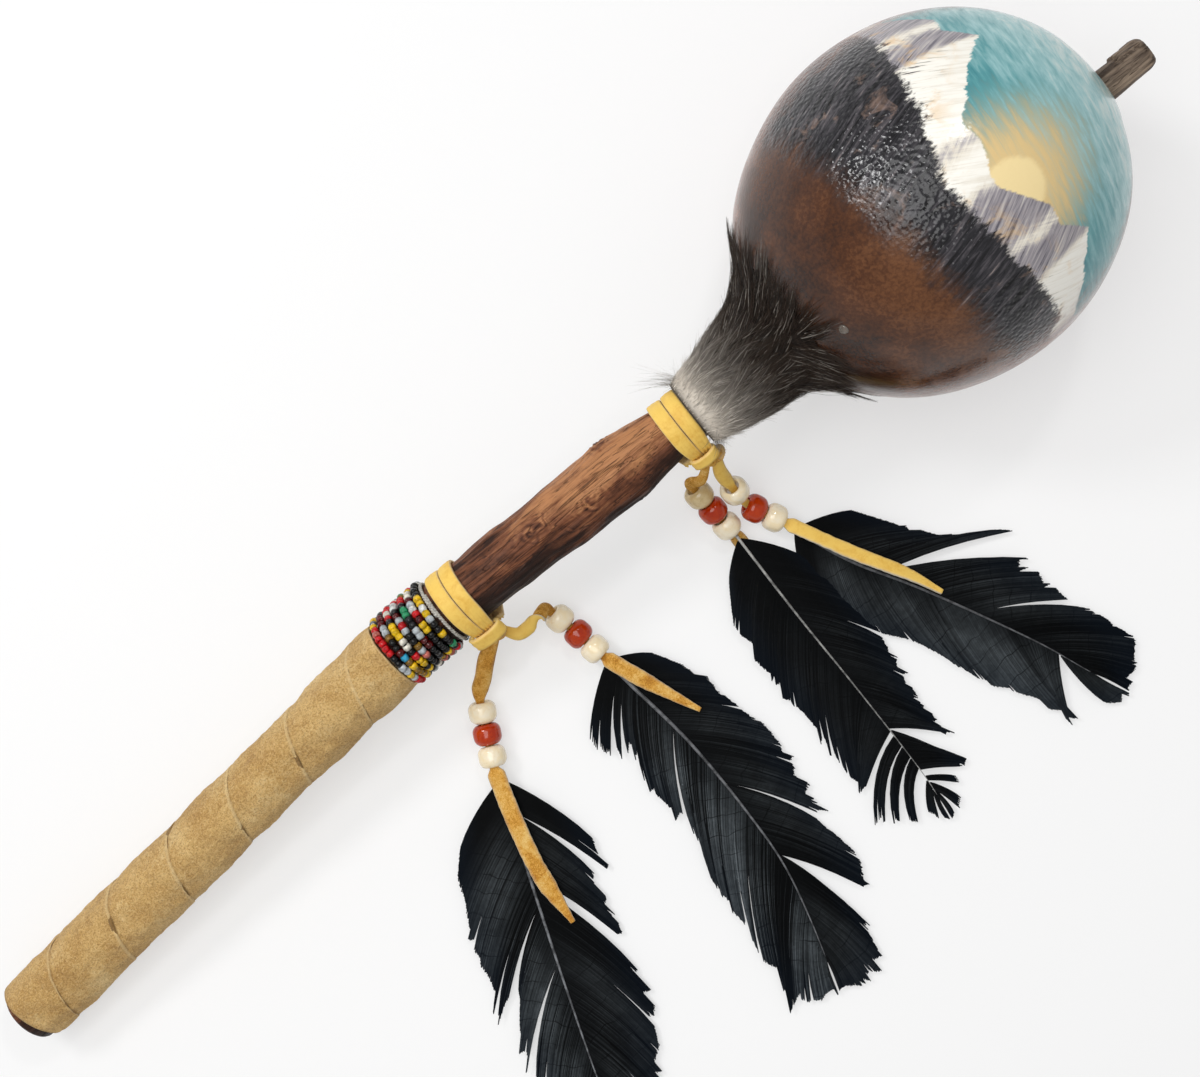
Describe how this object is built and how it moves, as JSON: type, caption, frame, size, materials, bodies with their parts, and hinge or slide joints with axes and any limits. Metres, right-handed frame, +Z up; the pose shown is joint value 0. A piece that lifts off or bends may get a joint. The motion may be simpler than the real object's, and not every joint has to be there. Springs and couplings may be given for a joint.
{
  "type": "gourd rattle",
  "caption": "Hollow painted gourd on a bent branch handle with a wound suede grip, seed bead winding, fur collar and feather tassels, shaken so that loose seeds rattle.",
  "frame": {"origin": "on the table, below the middle of the rattle's box, tassels left out", "axes": "+X along the rattle towards the gourd, +Z up from the table, tassels to -Y"},
  "size_m": [0.44, 0.2332, 0.1057],
  "materials": {
    "gourd_paint": "painted gourd skin under gloss varnish",
    "branch_bark": "peeled branch, oiled, satin",
    "fur": "short fur, dark with pale tips at the neck",
    "suede": "tan suede, napped",
    "seed_bead_glass": "mixed glass seed beads, glossy",
    "yellow_leather": "soft yellow leather, satin",
    "cream_glass": "opaque cream glass, glossy",
    "red_glass": "opaque red glass, glossy",
    "black_feather": "black feather with a blue sheen",
    "seed": "dry seed, matt"
  },
  "bodies": {
    "rattle": {"stick": "branch_bark", "gourd_shell": "gourd_paint", "fur_collar": "fur", "handle_wrap": "suede", "bead_wrap": "seed_bead_glass", "lower_tie_band": "yellow_leather", "upper_tie_band": "yellow_leather", "lower_tie_knot": "yellow_leather", "upper_tie_knot": "yellow_leather"},
    "upper_left_tassel": {"upper_left_lace": "yellow_leather", "upper_left_bead_1": "cream_glass", "upper_left_bead_2": "red_glass", "upper_left_bead_3": "cream_glass", "upper_left_feather": "black_feather"},
    "upper_right_tassel": {"upper_right_lace": "yellow_leather", "upper_right_bead_1": "cream_glass", "upper_right_bead_2": "red_glass", "upper_right_bead_3": "cream_glass", "upper_right_feather": "black_feather"},
    "lower_right_tassel": {"lower_right_lace": "yellow_leather", "lower_right_bead_1": "cream_glass", "lower_right_bead_2": "red_glass", "lower_right_bead_3": "cream_glass", "lower_right_feather": "black_feather"},
    "lower_left_tassel": {"lower_left_lace": "yellow_leather", "lower_left_bead_1": "cream_glass", "lower_left_bead_2": "red_glass", "lower_left_bead_3": "cream_glass", "lower_left_feather": "black_feather"},
    "loose_seed_1": {"seed_1": "seed"},
    "loose_seed_2": {"seed_2": "seed"},
    "loose_seed_3": {"seed_3": "seed"},
    "loose_seed_4": {"seed_4": "seed"},
    "loose_seed_5": {"seed_5": "seed"},
    "loose_seed_6": {"seed_6": "seed"},
    "loose_seed_7": {"seed_7": "seed"},
    "loose_seed_8": {"seed_8": "seed"}
  },
  "joints": [
    {"name": "upper_left_swing", "type": "hinge", "parent": "rattle", "child": "upper_left_tassel", "pos_m": [0.05032, -0.01837, 0.03121], "axis": [-1, 0, 0], "range_deg": [-90, 100]},
    {"name": "upper_right_swing", "type": "hinge", "parent": "rattle", "child": "upper_right_tassel", "pos_m": [0.05425, -0.01833, 0.03165], "axis": [-1, 0, 0], "range_deg": [-90, 100]},
    {"name": "lower_right_swing", "type": "hinge", "parent": "rattle", "child": "lower_right_tassel", "pos_m": [-0.0287, -0.01952, 0.02161], "axis": [-1, 0, 0], "range_deg": [-90, 100]},
    {"name": "lower_left_swing", "type": "hinge", "parent": "rattle", "child": "lower_left_tassel", "pos_m": [-0.03254, -0.01953, 0.02118], "axis": [-1, 0, 0], "range_deg": [-90, 100]},
    {"name": "seed_1_roll", "type": "hinge", "parent": "rattle", "child": "loose_seed_1", "pos_m": [0.14691, 0, 0.05275], "axis": [0.9934, 0, 0.1144], "continuous": true},
    {"name": "seed_2_roll", "type": "hinge", "parent": "rattle", "child": "loose_seed_2", "pos_m": [0.14691, 0, 0.05275], "axis": [0.9934, 0, 0.1144], "continuous": true},
    {"name": "seed_3_roll", "type": "hinge", "parent": "rattle", "child": "loose_seed_3", "pos_m": [0.14691, 0, 0.05275], "axis": [0.9934, 0, 0.1144], "continuous": true},
    {"name": "seed_4_roll", "type": "hinge", "parent": "rattle", "child": "loose_seed_4", "pos_m": [0.14691, 0, 0.05275], "axis": [0.9934, 0, 0.1144], "continuous": true},
    {"name": "seed_5_roll", "type": "hinge", "parent": "rattle", "child": "loose_seed_5", "pos_m": [0.14691, 0, 0.05275], "axis": [0.9934, 0, 0.1144], "continuous": true},
    {"name": "seed_6_roll", "type": "hinge", "parent": "rattle", "child": "loose_seed_6", "pos_m": [0.14691, 0, 0.05275], "axis": [0.9934, 0, 0.1144], "continuous": true},
    {"name": "seed_7_roll", "type": "hinge", "parent": "rattle", "child": "loose_seed_7", "pos_m": [0.14691, 0, 0.05275], "axis": [0.9934, 0, 0.1144], "continuous": true},
    {"name": "seed_8_roll", "type": "hinge", "parent": "rattle", "child": "loose_seed_8", "pos_m": [0.14691, 0, 0.05275], "axis": [0.9934, 0, 0.1144], "continuous": true}
  ]
}
